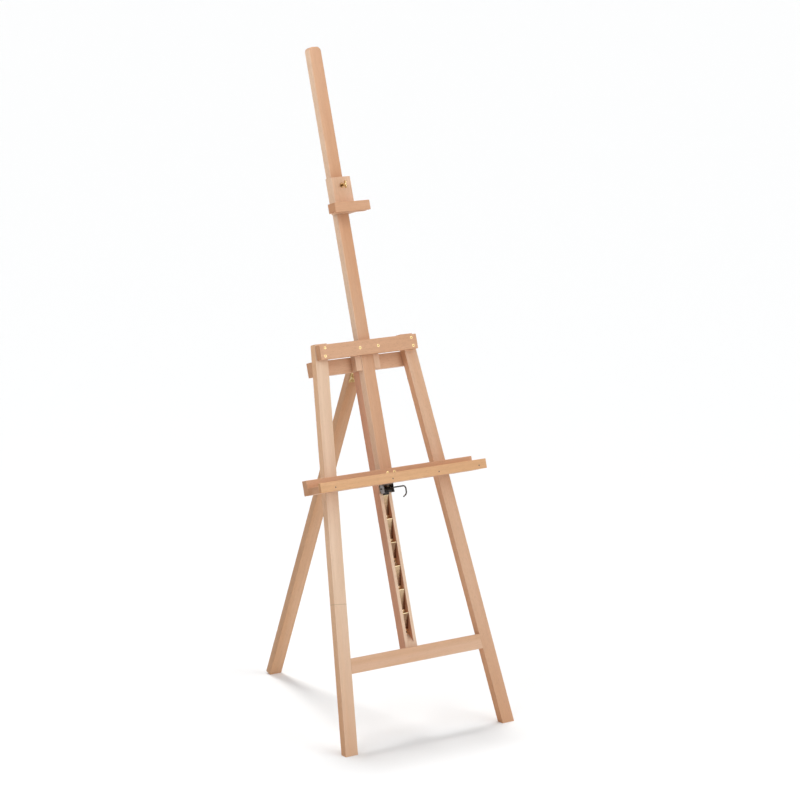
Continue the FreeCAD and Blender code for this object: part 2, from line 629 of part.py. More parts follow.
hub_back = "(clip_front + flange_thickness + wing_standoff)"
wing = [cylinder("wing_radius", "%s - gap - stop_gap" % hub_back, "0", "0 - %s" % hub_back,
                 "clamp_height", BACKWARD),
        cone("wing_hub_radius", "wing_hub_tip", "wing_hub_length", "0", "0 - %s" % hub_back,
             "clamp_height", FORWARD)]
for side in (-1, 1):
    wing.append(cylinder("wing_disc_radius", "wing_thickness", "0 - wing_thickness / 2",
                         "0 - %s - wing_reach" % hub_back,
                         "clamp_height + wing_disc_offset * %d" % side, RIGHTWARD))
keep("wing_screw", fuse(wing))

# ---------------------------------------------------------------- rear leg and hinge

stop_plane = "(stop_gap - pin_depth)"
leg_back = "pin_depth + board_thickness"
top_cut = "(%s + leg_overrun * sin(spread * 1 deg)) / cos(spread * 1 deg)" % stop_plane
front_cut = "(pin_depth * cos(spread * 1 deg) - %s) / sin(spread * 1 deg)" % stop_plane
rear_leg = add_body("rear_leg", "YZ_Plane", "0 - " + half, "board_width", [
    ("pin_depth", "0 - rear_length"), (leg_back, "0 - rear_length"),
    (leg_back, "leg_overrun"), (top_cut, "leg_overrun"), ("pin_depth", front_cut)], LEG)
ease(rear_leg, chosen=runs_along("Z"))


def leaf_outline(low, top, notch, knuckle_inside):
    """Outline of a hinge leaf: a plate with tabs that reach the pin beside the other leaf's."""
    free = "(knuckle_half + knuckle_gap)"
    if knuckle_inside:
        tab = "knuckle_half"
        return [("0 - leaf_half_width", low), ("leaf_half_width", low), ("leaf_half_width", notch),
                (tab, notch), (tab, top), ("0 - " + tab, top), ("0 - " + tab, notch),
                ("0 - leaf_half_width", notch)]
    return [("0 - leaf_half_width", low), ("leaf_half_width", low), ("leaf_half_width", top),
            (free, top), (free, notch), ("0 - " + free, notch), ("0 - " + free, top),
            ("0 - leaf_half_width", top)]


leaf = add_body("hinge_leaf_fixed", "XZ_Plane", "rail_back", "leaf_sheet",
                leaf_outline("pin_height - leaf_length", "pin_height", "pin_height - leaf_notch", False))
side_length = "leaf_half_width - knuckle_half - knuckle_gap"
barrels = [cylinder("knuckle_radius", side_length, start, "pin_y", "pin_height", RIGHTWARD)
           for start in ("0 - leaf_half_width", "knuckle_half + knuckle_gap")]
keep("hinge_leaf_fixed", fuse([leaf] + barrels))
cut("hinge_leaf_fixed", cylinder("hinge_pin_radius + pin_gap", "4 * leaf_half_width",
                                 "0 - 2 * leaf_half_width", "pin_y", "pin_height", RIGHTWARD))
leaf = add_body("hinge_leaf_moving", "XZ_Plane", "pin_depth - leaf_sheet", "leaf_sheet",
                leaf_outline("0 - leaf_length", "0", "0 - leaf_notch", True), LEG)
barrel = cylinder("knuckle_radius", "2 * knuckle_half", "0 - knuckle_half", "0", "0", RIGHTWARD)
keep("hinge_leaf_moving", fuse([leaf, barrel]), LEG)
cut("hinge_leaf_moving", cylinder("hinge_pin_radius + pin_gap", "4 * leaf_half_width",
                                  "0 - 2 * leaf_half_width", "0", "0", RIGHTWARD))
pin_end = "(leaf_half_width + knuckle_gap)"
pin = [cylinder("hinge_pin_radius", "2 * %s" % pin_end, "0 - %s" % pin_end, "pin_y", "pin_height",
                RIGHTWARD),
       cylinder("pin_head_radius", "pin_head", pin_end, "pin_y", "pin_height", RIGHTWARD),
       cylinder("pin_head_radius", "pin_head", "0 - %s - pin_head" % pin_end, "pin_y", "pin_height",
                RIGHTWARD)]
keep("hinge_pin", fuse(pin))

leaf_spots = [("leaf_screw_spread * %d" % side, drop) for side in (-1, 1)
              for drop in ("leaf_screw_upper", "leaf_screw_lower")]
add_screws("hinge_screws_fixed",
           [(x, "rail_back + leaf_sheet", "pin_height - %s" % drop) for x, drop in leaf_spots],
           FORWARD, "small_screw", "small_screw_length", ["hinge_leaf_fixed", "guide_rail"])
add_screws("hinge_screws_moving",
           [(x, "pin_depth - leaf_sheet", "0 - %s" % drop) for x, drop in leaf_spots],
           BACKWARD, "small_screw", "small_screw_length", ["hinge_leaf_moving", "rear_leg"], LEG)

# ---------------------------------------------------------------- placing, checking, writing

doc.recompute()
for label, item in pieces.items():
    item.Label = label
    if frames[label] == SLOPE:
        item.Placement = Placement(Vector(), Rotation(Vector(1, 0, 0), -value("lean")))
        place = {"Placement.Base.y": "0 - depth / 2", "Placement.Rotation.Angle": "(0 - lean) * 1 deg"}
    else:
        item.Placement = Placement(Vector(), Rotation(Vector(1, 0, 0), value("rear_lean")))
        place = {"Placement.Base.y": "pin_behind_front - depth / 2",
                 "Placement.Base.z": "pin_above_floor",
                 "Placement.Rotation.Angle": "rear_lean * 1 deg"}
    for name, formula in place.items():
        item.setExpression(name, expand(formula))
doc.recompute()

for item in doc.Objects:
    if "Invalid" in item.State or "Error" in item.State:
        raise RuntimeError("%s did not recompute: %s" % (item.Label, item.State))
for label, item in pieces.items():
    if item.Shape.isNull() or not item.Shape.isValid() or not item.Shape.Solids:
        raise RuntimeError("%s has no valid shape" % label)

os.makedirs("parts", exist_ok=True)
for label, item in pieces.items():
    item.Shape.exportStep("parts/%s.step" % label)
    box = item.Shape.BoundBox
    print("%-26s %2d solids  X %8.1f %8.1f  Y %8.1f %8.1f  Z %8.1f %8.1f" % (
        label, len(item.Shape.Solids), box.XMin, box.XMax, box.YMin, box.YMax, box.ZMin, box.ZMax))
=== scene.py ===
import json
import math

import bpy
import numpy as np
from mathutils import Matrix, Vector


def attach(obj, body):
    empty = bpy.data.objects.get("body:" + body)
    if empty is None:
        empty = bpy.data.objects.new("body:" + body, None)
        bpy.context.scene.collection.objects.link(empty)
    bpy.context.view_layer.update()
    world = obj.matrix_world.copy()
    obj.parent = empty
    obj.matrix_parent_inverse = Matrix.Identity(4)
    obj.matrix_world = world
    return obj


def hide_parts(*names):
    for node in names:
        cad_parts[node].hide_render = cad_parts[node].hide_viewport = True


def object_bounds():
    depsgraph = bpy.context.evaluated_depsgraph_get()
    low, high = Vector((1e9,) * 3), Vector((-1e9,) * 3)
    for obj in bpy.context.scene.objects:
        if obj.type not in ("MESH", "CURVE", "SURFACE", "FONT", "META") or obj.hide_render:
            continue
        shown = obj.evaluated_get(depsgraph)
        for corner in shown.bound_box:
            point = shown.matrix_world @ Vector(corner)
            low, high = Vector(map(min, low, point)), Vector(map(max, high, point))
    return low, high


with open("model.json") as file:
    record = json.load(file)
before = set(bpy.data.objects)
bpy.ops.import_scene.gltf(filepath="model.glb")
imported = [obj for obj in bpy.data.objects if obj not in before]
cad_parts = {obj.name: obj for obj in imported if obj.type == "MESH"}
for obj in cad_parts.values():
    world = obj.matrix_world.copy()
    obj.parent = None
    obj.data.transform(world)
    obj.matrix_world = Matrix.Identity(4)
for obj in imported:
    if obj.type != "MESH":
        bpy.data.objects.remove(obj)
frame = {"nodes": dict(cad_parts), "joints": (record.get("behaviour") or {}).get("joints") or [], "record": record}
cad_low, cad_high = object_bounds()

nodes = frame["nodes"]
record = frame["record"]
scene = bpy.context.scene
MM = 0.001

# ------------------------------------------------------------------ the studio
# A white floor under even white light, as a catalogue shows a product: a high soft sun a
# little behind the easel, a soft one at its front right, and a dim lamp by the mast's top.

FLOOR_HALF = 90.0
FLOOR_COLOUR = (0.892, 0.896, 0.898, 1)
SUNS = {
    # strength, then in degrees: spread, the azimuth it comes from (0 is the painter's side)
    # and elevation
    "high_sun": (1.55, 16, 166, 70),
    "front_sun": (1.25, 60, 34, 26),
}
ZENITH, HORIZON = 0.62, 0.34
DIM_SIDE, BRIGHT_SIDE = 0.72, 1.06
MAST_LAMP_PLACE, MAST_LAMP_SIZE, MAST_LAMP_POWER = Vector((-1.25, -0.35, 2.25)), 0.7, 10

scene.view_settings.view_transform = "Standard"
scene.view_settings.look = "None"

floor_mesh = bpy.data.meshes.new("studio_floor")
corners = FLOOR_HALF * np.array([[-1, -1, 0], [1, -1, 0], [1, 1, 0], [-1, 1, 0]], float)
floor_mesh.from_pydata(corners.tolist(), [], [(0, 1, 2, 3)])
floor = bpy.data.objects.new("studio_floor", floor_mesh)
scene.collection.objects.link(floor)
floor_paint = bpy.data.materials.new("studio_floor")
floor_paint.use_nodes = True
floor_shader = floor_paint.node_tree.nodes["Principled BSDF"]
floor_shader.inputs["Base Color"].default_value = FLOOR_COLOUR
floor_shader.inputs["Roughness"].default_value = 0.9
floor_shader.inputs["Specular IOR Level"].default_value = 0.0
floor_mesh.materials.append(floor_paint)

room = bpy.data.worlds.new("room")
room.use_nodes = True
sky = room.node_tree
ambient = sky.nodes["Background"]
direction = sky.nodes.new("ShaderNodeTexCoord")
height = sky.nodes.new("ShaderNodeSeparateXYZ")
rise = sky.nodes.new("ShaderNodeMapRange")
backdrop = sky.nodes.new("ShaderNodeBackground")
seen = sky.nodes.new("ShaderNodeLightPath")
either = sky.nodes.new("ShaderNodeMixShader")
rise.inputs["To Min"].default_value = HORIZON
rise.inputs["To Max"].default_value = ZENITH
sideways = sky.nodes.new("ShaderNodeMapRange")
sideways.inputs["From Min"].default_value = -1
sideways.inputs["To Min"].default_value = DIM_SIDE
sideways.inputs["To Max"].default_value = BRIGHT_SIDE
glow = sky.nodes.new("ShaderNodeMath")
glow.operation = "MULTIPLY"
sky.links.new(direction.outputs["Generated"], height.inputs[0])
sky.links.new(height.outputs["Z"], rise.inputs["Value"])
sky.links.new(height.outputs["X"], sideways.inputs["Value"])
sky.links.new(rise.outputs["Result"], glow.inputs[0])
sky.links.new(sideways.outputs["Result"], glow.inputs[1])
sky.links.new(glow.outputs[0], ambient.inputs["Strength"])
ambient.inputs["Color"].default_value = (1, 1, 1, 1)
backdrop.inputs["Color"].default_value = (1, 1, 1, 1)
sky.links.new(seen.outputs["Is Camera Ray"], either.inputs["Fac"])
sky.links.new(ambient.outputs[0], either.inputs[1])
sky.links.new(backdrop.outputs[0], either.inputs[2])
sky.links.new(either.outputs[0], sky.nodes["World Output"].inputs["Surface"])
scene.world = room


def aim(lamp, towards):
    """Turn a lamp so that its light comes from one direction."""
    lamp.rotation_mode = "QUATERNION"
    lamp.rotation_quaternion = towards.to_track_quat("Z", "Y")
    scene.collection.objects.link(lamp)


for name, (strength, spread, azimuth, elevation) in SUNS.items():
    sun = bpy.data.lights.new(name, "SUN")
    sun.energy = strength
    sun.angle = math.radians(spread)
    turn, lift = math.radians(azimuth), math.radians(elevation)
    aim(bpy.data.objects.new(name, sun), Vector((
        math.sin(turn) * math.cos(lift), -math.cos(turn) * math.cos(lift), math.sin(lift))))

lamp = bpy.data.lights.new("mast_lamp", "AREA")
lamp.size = MAST_LAMP_SIZE
lamp.energy = MAST_LAMP_POWER
mast_lamp = bpy.data.objects.new("mast_lamp", lamp)
mast_lamp.location = MAST_LAMP_PLACE
mast_lamp.visible_camera = False
aim(mast_lamp, MAST_LAMP_PLACE - Vector((0, 0, cad_high.z)))

# ------------------------------------------------------------------ the camera
# A long lens 2.65 m above the floor at the easel's front left, looking slightly down on it
# and turned a hair anticlockwise.

LENS, SENSOR, FAR_END = 144.85, 36, 300
SIDE_ANGLE, DOWN_ANGLE, ROLL = math.radians(38.2), math.radians(11.9), 0.027
CAMERA_DISTANCE = 8.536
LOOK_AT = Vector((0, cad_low.y + 0.1764, 0.8913))

ahead = Vector((math.sin(SIDE_ANGLE) * math.cos(DOWN_ANGLE),
                math.cos(SIDE_ANGLE) * math.cos(DOWN_ANGLE), -math.sin(DOWN_ANGLE)))
level = Vector((math.cos(SIDE_ANGLE), -math.sin(SIDE_ANGLE), 0))
over = level.cross(ahead)
side = math.cos(ROLL) * level + math.sin(ROLL) * over
top = math.cos(ROLL) * over - math.sin(ROLL) * level
lens = bpy.data.cameras.new("camera")
lens.lens = LENS
lens.sensor_width = SENSOR
lens.clip_end = FAR_END
camera = bpy.data.objects.new("camera", lens)
pose = Matrix((side, top, -ahead)).transposed().to_4x4()
pose.translation = LOOK_AT - CAMERA_DISTANCE * ahead
camera.matrix_world = pose
scene.collection.objects.link(camera)
scene.camera = camera

# ------------------------------------------------------------------ front legs
# Two planed beech boards, 40 x 20 mm, splayed in one leaning plane and sawn off parallel to
# the floor. The left one is paler, and is glued end to end a little above the crossbar.

joints = {joint["name"]: joint for joint in frame["joints"]}
ACROSS = Vector((1, 0, 0))
UP_SLOPE = Vector(joints["mast_slide"]["axis"]).normalized()
FOOT_LINE = Vector((0, cad_low.y, 0))
SPLAY = math.radians(6.45)
GLUE_LINE, GLUE_WIDTH = 0.400, 0.0006


class Setting:
    """A leaning frame to draw pieces in: x to the right, y backwards, z up the board."""

    def __init__(self, origin, up):
        self.origin = np.array(origin)
        self.axes = np.array([ACROSS, up.cross(ACROSS), up])

    def place(self, points):
        """Points of this frame as points of the whole easel."""
        return np.asarray(points) @ self.axes + self.origin

    def corners(self, node):
        """All of a node's corners, in this frame."""
        mesh = nodes[node].data
        flat = np.empty(3 * len(mesh.vertices))
        mesh.vertices.foreach_get("co", flat)
        return (flat.reshape(-1, 3) - self.origin) @ self.axes.T

    def box(self, node):
        """A node's lowest and highest corner, in this frame."""
        corners = self.corners(node)
        return corners.min(0), corners.max(0)


slope = Setting(FOOT_LINE, UP_SLOPE)


def lay(tree, kind, **settings):
    """Add a shader node. A setting named after an input fills or links it; others set the
    node itself."""
    node = tree.nodes.new(kind)
    for key, setting in settings.items():
        place = key.replace("_", " ")
        socket = next((item for item in node.inputs if item.name == place and item.enabled), None)
        if socket is None:
            setattr(node, key, setting)
        elif isinstance(setting, bpy.types.NodeSocket):
            tree.links.new(setting, socket)
        else:
            socket.default_value = setting
    return node


def ramp(tree, factor, stops):
    """A colour ramp through (position, colour) stops; a number stands for a grey."""
    node = lay(tree, "ShaderNodeValToRGB")
    tree.links.new(factor, node.inputs[0])
    while len(node.color_ramp.elements) < len(stops):
        node.color_ramp.elements.new(0.5)
    for element, (position, colour) in zip(node.color_ramp.elements, stops):
        element.position = position
        channels = (colour,) * 3 if isinstance(colour, float) else colour
        element.color = (*channels, 1)
    return node.outputs["Color"]


def mix(tree, factor, first, second, mode="MIX"):
    """Blend two colours, each a socket or a fixed colour."""
    node = tree.nodes.new("ShaderNodeMix")
    node.data_type = "RGBA"
    node.blend_type = mode
    sockets = (node.inputs[0], node.inputs[6], node.inputs[7])
    for socket, given in zip(sockets, (factor, first, second)):
        if isinstance(given, bpy.types.NodeSocket):
            tree.links.new(given, socket)
        else:
            socket.default_value = (*given, 1) if isinstance(given, tuple) else given
    return node.outputs[2]


def between(tree, factor, low, high):
    """How far a value has come from low to high, as 0 to 1."""
    node = lay(tree, "ShaderNodeMapRange", Value=factor)
    node.inputs["From Min"].default_value = low
    node.inputs["From Max"].default_value = high
    return node.outputs["Result"]


def faces(tree, normal, way):
    """Mask of the faces that look along a direction, either way."""
    facing = lay(tree, "ShaderNodeVectorMath", operation="DOT_PRODUCT")
    tree.links.new(normal, facing.inputs[0])
    facing.inputs[1].default_value = way
    either_way = lay(tree, "ShaderNodeMath", operation="ABSOLUTE")
    tree.links.new(facing.outputs["Value"], either_way.inputs[0])
    return between(tree, either_way.outputs[0], 0.75, 0.93)


def beech(node, along, across, tone, seed, drift=None, lit_left_side=None, side_shade=None, glued=False):
    """Give a board planed beech, with its grain along one direction.

    The board's own axes are x across the face, y through it and z along the grain, from the
    middle of its lower end. Year rings are circles round a pith line that lies outside the
    board, so they show as long lines on the faces and as arcs on the sawn ends. Ray flecks are
    short dark spindles, fibres are fine noise drawn out along z, and both dent the surface.
    Drift is a second tone that the board reaches from one height to another. A left-side tone, if given, is
    reached towards its left side: painted light, as light from the upper left falls there. A side factor, if
    given, is what its narrow sides are multiplied by: painted shade, for the shade those sides lie in."""
    along = Vector(along).normalized()
    across = (Vector(across) - along * along.dot(Vector(across))).normalized()
    axes = Matrix((across, along.cross(across), along)).transposed()
    flat = np.empty(3 * len(nodes[node].data.vertices))
    nodes[node].data.vertices.foreach_get("co", flat)
    reach = flat.reshape(-1, 3) @ np.array(axes)
    middle = (reach.min(0) + reach.max(0)) / 2
    lower_end = axes @ Vector((middle[0], middle[1], reach[:, 2].min()))
    material = bpy.data.materials.new("beech_" + node)
    material.use_nodes = True
    tree = material.node_tree
    shader = tree.nodes["Principled BSDF"]
    coordinates = lay(tree, "ShaderNodeTexCoord")
    board = lay(tree, "ShaderNodeMapping", vector_type="TEXTURE",
                Vector=coordinates.outputs["Object"], Location=lower_end,
                Rotation=axes.to_euler("XYZ")).outputs["Vector"]

    def stretched(squeeze, shift=0.0):
        """The board's coordinates drawn out along the grain, and moved so that boards differ."""
        spot = (shift + 0.31 * seed, 0.17 * seed, 0.73 * seed)
        moved = lay(tree, "ShaderNodeMapping", Vector=board, Location=spot, Scale=(1, 1, squeeze))
        return moved.outputs["Vector"]

    pith = (0.012 * (seed % 5) - 0.02, 0.055 + 0.011 * (seed % 4), 0)
    ringed = lay(tree, "ShaderNodeMapping", Vector=board, Location=pith,
                 Scale=(1, 1, 0.035)).outputs["Vector"]
    rings = lay(tree, "ShaderNodeTexWave", Vector=ringed, wave_type="RINGS", rings_direction="Z",
                Scale=70.0, Distortion=5.0, Detail=3.0, Detail_Scale=9.0).outputs["Fac"]
    broad = lay(tree, "ShaderNodeTexNoise", Vector=stretched(0.06), Scale=22.0,
                Detail=3.0).outputs["Fac"]
    cloud = lay(tree, "ShaderNodeTexNoise", Vector=stretched(0.35, 0.2), Scale=9.0,
                Detail=2.0).outputs["Fac"]
    fibre = lay(tree, "ShaderNodeTexNoise", Vector=stretched(0.02), Scale=900.0, Detail=3.0,
                Roughness=0.7).outputs["Fac"]
    cells = lay(tree, "ShaderNodeTexVoronoi", Vector=stretched(0.16), Scale=520.0)
    spindle = ramp(tree, cells.outputs["Distance"], [(0.0, 1.0), (0.24, 0.6), (0.40, 0.0)])
    picked = ramp(tree, cells.outputs["Color"], [(0.40, 0.0), (0.60, 1.0)])
    flecks = mix(tree, 1.0, spindle, picked, "MULTIPLY")

    dark, warm, pale = (tuple(share * channel for share, channel in zip(tint, tone))
                        for tint in (DARK_TINT, WARM_TINT, PALE_TINT))
    place = lay(tree, "ShaderNodeSeparateXYZ", Vector=board)
    colour = ramp(tree, broad, [(0.34, warm), (0.50, tone), (0.68, pale)])
    if drift:
        second, start, end = drift
        colour = mix(tree, between(tree, place.outputs["Z"], start, end), colour, second)
    # Painted light: a paler tone towards the left side, where light from the upper left falls.
    if lit_left_side:
        second, start, end = lit_left_side
        colour = mix(tree, between(tree, place.outputs["X"], start, end), colour, second)
    colour = mix(tree, between(tree, cloud, 0.42, 0.72), colour, mix(tree, 0.5, colour, warm))
    late_wood = ramp(tree, rings, [(0.0, 0.0), (0.62, 0.10), (0.90, 0.34), (1.0, 0.16)])
    colour = mix(tree, late_wood, colour, dark)
    colour = mix(tree, 0.38, colour, ramp(tree, fibre, [(0.28, 0.76), (0.62, 1.0)]), "MULTIPLY")
    fleck_tone = tuple(0.60 * channel for channel in dark)
    faint_flecks = mix(tree, 1.0, flecks, FLECK_STRENGTH, "MULTIPLY")
    colour = mix(tree, faint_flecks, colour, fleck_tone)
    normal = coordinates.outputs["Normal"]
    sawn = mix(tree, 1.0, colour, END_GRAIN, "MULTIPLY")
    colour = mix(tree, faces(tree, normal, along), colour, sawn)
    # Painted shade: the narrow sides are made darker and warmer, for the shade they lie in.
    if side_shade:
        shaded_sides = mix(tree, 1.0, colour, side_shade, "MULTIPLY")
        colour = mix(tree, faces(tree, normal, across), colour, shaded_sides)
    if glued:
        offset = lay(tree, "ShaderNodeMath", operation="SUBTRACT")
        tree.links.new(place.outputs["Z"], offset.inputs[0])
        offset.inputs[1].default_value = GLUE_LINE
        away = lay(tree, "ShaderNodeMath", operation="ABSOLUTE")
        tree.links.new(offset.outputs[0], away.inputs[0])
        fade = between(tree, away.outputs[0], 0.0, 2 * GLUE_WIDTH)
        glue = ramp(tree, fade, [(0.35, 0.55), (1.0, 0.0)])
        colour = mix(tree, glue, colour, fleck_tone)
    tree.links.new(colour, shader.inputs["Base Color"])
    tree.links.new(ramp(tree, broad, [(0.3, 0.58), (0.7, 0.46)]), shader.inputs["Roughness"])
    shader.inputs["Specular IOR Level"].default_value = 0.32
    relief = mix(tree, 0.4, fibre, flecks, "SUBTRACT")
    bump = lay(tree, "ShaderNodeBump", Height=relief, Strength=0.22, Distance=0.0004)
    tree.links.new(bump.outputs["Normal"], shader.inputs["Normal"])
    nodes[node].data.materials.clear()
    nodes[node].data.materials.append(material)


PALE_BEECH = (0.76, 0.545, 0.39)
ROSY_BEECH = (0.70, 0.45, 0.30)
TAN_BEECH = (0.65, 0.375, 0.225)
GOLD_BEECH = (0.67, 0.375, 0.185)
RUST_BEECH = (0.56, 0.28, 0.14)
LEAN_BEECH = (0.61, 0.365, 0.215)
DARK_TINT, WARM_TINT, PALE_TINT = (0.82, 0.76, 0.70), (0.95, 0.88, 0.80), (1.09, 1.13, 1.18)
END_GRAIN = (0.84, 0.76, 0.68)
FLECK_STRENGTH = (0.34, 0.34, 0.34)
# Painted shade for the narrow sides of the legs and the rail, as factors on their colour.
LEG_SIDE_SHADE = (1.0, 0.89, 0.78)
RAIL_SIDE_SHADE = (0.80, 0.55, 0.45)

left_grain = math.cos(SPLAY) * UP_SLOPE + math.sin(SPLAY) * ACROSS
right_grain = math.cos(SPLAY) * UP_SLOPE - math.sin(SPLAY) * ACROSS
beech("left_leg", left_grain, ACROSS, PALE_BEECH, 1, drift=(TAN_BEECH, 0.42, -0.10),
      side_shade=LEG_SIDE_SHADE, glued=True)
beech("right_leg", right_grain, ACROSS, ROSY_BEECH, 2, drift=(RUST_BEECH, 0.55, -0.10),
      side_shade=LEG_SIDE_SHADE)

# ------------------------------------------------------------------ lower crossbar
# One beech board between the legs with its ends cut to their splay. Two beech dowels at each
# end hold it, glued blind into the legs.

beech("lower_crossbar", ACROSS, UP_SLOPE, ROSY_BEECH, 3)
beech("crossbar_dowels", ACROSS, UP_SLOPE, PALE_BEECH, 4)

# ------------------------------------------------------------------ guide rail
# A thicker beech board behind the crossbar, ploughed with a groove for the rack. It is held
# by two screws at the foot and two dowels at the head.

beech("guide_rail", UP_SLOPE, ACROSS, PALE_BEECH, 5, side_shade=RAIL_SIDE_SHADE)
beech("rail_dowels", UP_SLOPE, ACROSS, PALE_BEECH, 6)

# ------------------------------------------------------------------ brass rack
# Four strips of brass sheet, each folded like a saw: a flat pad, a long slope out to the
# tooth's tip and a short shelf back that carries the pawl. A screw holds each strip's foot.

RACK_SHEET = 1.1 * MM
FOOT_BELOW, FOOT_ABOVE = 6 * MM, 8 * MM
FIRST_TOOTH, TOOTH_PITCH, SHELF_RISE, TOOTH_DEPTH = 51 * MM, 64 * MM, 4 * MM, 12 * MM
ROOT_PAD, RACK_BEND = 6 * MM, 1.2 * MM
# Painted highlight and shade on the rack: the light tone goes where a face looks up the slope, partly wear and
# partly light from above; the dark tones go on the slopes that look down.
RUBBED_AND_HIGHLIT_BRASS, DULL_AND_SHADED_BRASS = (0.92, 0.76, 0.47), (0.20, 0.115, 0.065)
WEAR_AND_HIGHLIGHT_FACING = (-0.19, -0.08)  # how far a face looks up the slope where the worn and painted highlight tone starts and is full


def stand_in(piece, *names):
    """Let a piece stand for CAD nodes of one body: it rides with that body, and the nodes are hidden."""
    bodies = record["behaviour"]["bodies"]
    body = next(body for body, members in bodies.items() if names[0] in members)
    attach(piece, body)
    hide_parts(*names)


def surface(name, grids, setting, material, sharp=38):
    """One object of closed surfaces, each a grid of points, drawn in a setting.

    A grid has rows along the piece and columns round it. The last column meets the first. A
    point in the middle of the first and of the last row closes each end, and where these two
    rows are the same the piece is a ring, with no ends."""
    points, polygons, start = [], [], 0
    for grid in grids:
        ring = np.allclose(grid[0], grid[-1])
        grid = grid[:-1] if ring else grid
        rows, columns = grid.shape[:2]
        around = np.arange(columns)
        ahead = (around + 1) % columns
        row = np.arange(rows if ring else rows - 1)[:, None] * columns
        above = (row + columns) % (rows * columns)
        sides = start + np.stack([row + around, row + ahead, above + ahead, above + around], -1)
        points.append(grid.reshape(-1, 3))
        polygons += sides.reshape(-1, 4).tolist()
        start += rows * columns
        if not ring:
            rim = start - columns
            foot = rim - (rows - 1) * columns
            bottom = np.stack([np.full(columns, start), foot + ahead, foot + around], -1)
            lid = np.stack([np.full(columns, start + 1), rim + around, rim + ahead], -1)
            points += [grid[0].mean(0)[None], grid[-1].mean(0)[None]]
            polygons += bottom.tolist() + lid.tolist()
            start += 2
    mesh = bpy.data.meshes.new(name)
    mesh.from_pydata(setting.place(np.concatenate(points)).tolist(), [], polygons)
    mesh.validate()
    mesh.shade_smooth()
    mesh.set_sharp_from_angle(angle=math.radians(sharp))
    mesh.materials.append(material)
    piece = bpy.data.objects.new(name, mesh)
    scene.collection.objects.link(piece)
    return piece


def outward(grid):
    """Turn a grid round if its faces point inwards, judged by the volume it encloses."""
    a, b, c = grid[:-1], np.roll(grid, -1, 1)[:-1], np.roll(grid, -1, 1)[1:]
    middle = grid.reshape(-1, 3).mean(0)
    volume = np.einsum("ijk,ijk->", np.cross(a - middle, b - middle), c - middle)
    return grid if volume > 0 else grid[:, ::-1]


def carried(path, normals, binormals, section):
    """A section carried along a path: point + first part x normal + second part x binormal.

    Section is one outline, or one for each point of the path."""
    section = np.broadcast_to(section, (len(path),) + np.shape(section)[-2:])
    return outward(path[:, None] + section[..., :1] * normals[:, None]
                   + section[..., 1:] * binormals[:, None])


def rounded_bar(thickness, width, corner, steps=4):
    """Outline of a bar with round corners: four quarter circles, thickness by width."""
    turns = np.linspace(0, math.pi / 2, steps)
    outline = []
    for quarter, (one, two) in enumerate(((1, 1), (-1, 1), (-1, -1), (1, -1))):
        angle = turns + quarter * math.pi / 2
        middle = np.array([one * (thickness / 2 - corner), two * (width / 2 - corner)])
        outline.append(middle + corner * np.stack([np.cos(angle), np.sin(angle)], -1))
    return np.concatenate(outline)


def bent(corners, radius, steps=6):
    """A flat path through corners with each bend made round by a quadratic curve.

    The curve starts and ends one radius from the corner: (1-t)^2 a + 2t(1-t) corner + t^2 b."""
    corners = np.asarray(corners, float)
    t = np.linspace(0, 1, steps)[:, None]
    path = [corners[:1]]
    for before, corner, after in zip(corners[:-2], corners[1:-1], corners[2:]):
        a = corner + radius * (before - corner) / np.linalg.norm(before - corner)
        b = corner + radius * (after - corner) / np.linalg.norm(after - corner)
        path.append((1 - t) ** 2 * a + 2 * t * (1 - t) * corner + t ** 2 * b)
    return np.concatenate(path + [corners[-1:]])


def folded_strip(path, flat, across, thickness, width):
    """A strip of sheet folded along a flat path; flat names the path's two axes."""
    places = np.zeros((len(path), 3))
    places[:, flat] = path
    along = np.gradient(path, axis=0)
    along /= np.linalg.norm(along, axis=1)[:, None]
    normals = np.zeros_like(places)
    normals[:, flat] = np.stack([-along[:, 1], along[:, 0]], -1)
    binormals = np.tile(np.array(across, float), (len(path), 1))
    return carried(places, normals, binormals, rounded_bar(thickness, width, 0.3 * thickness))


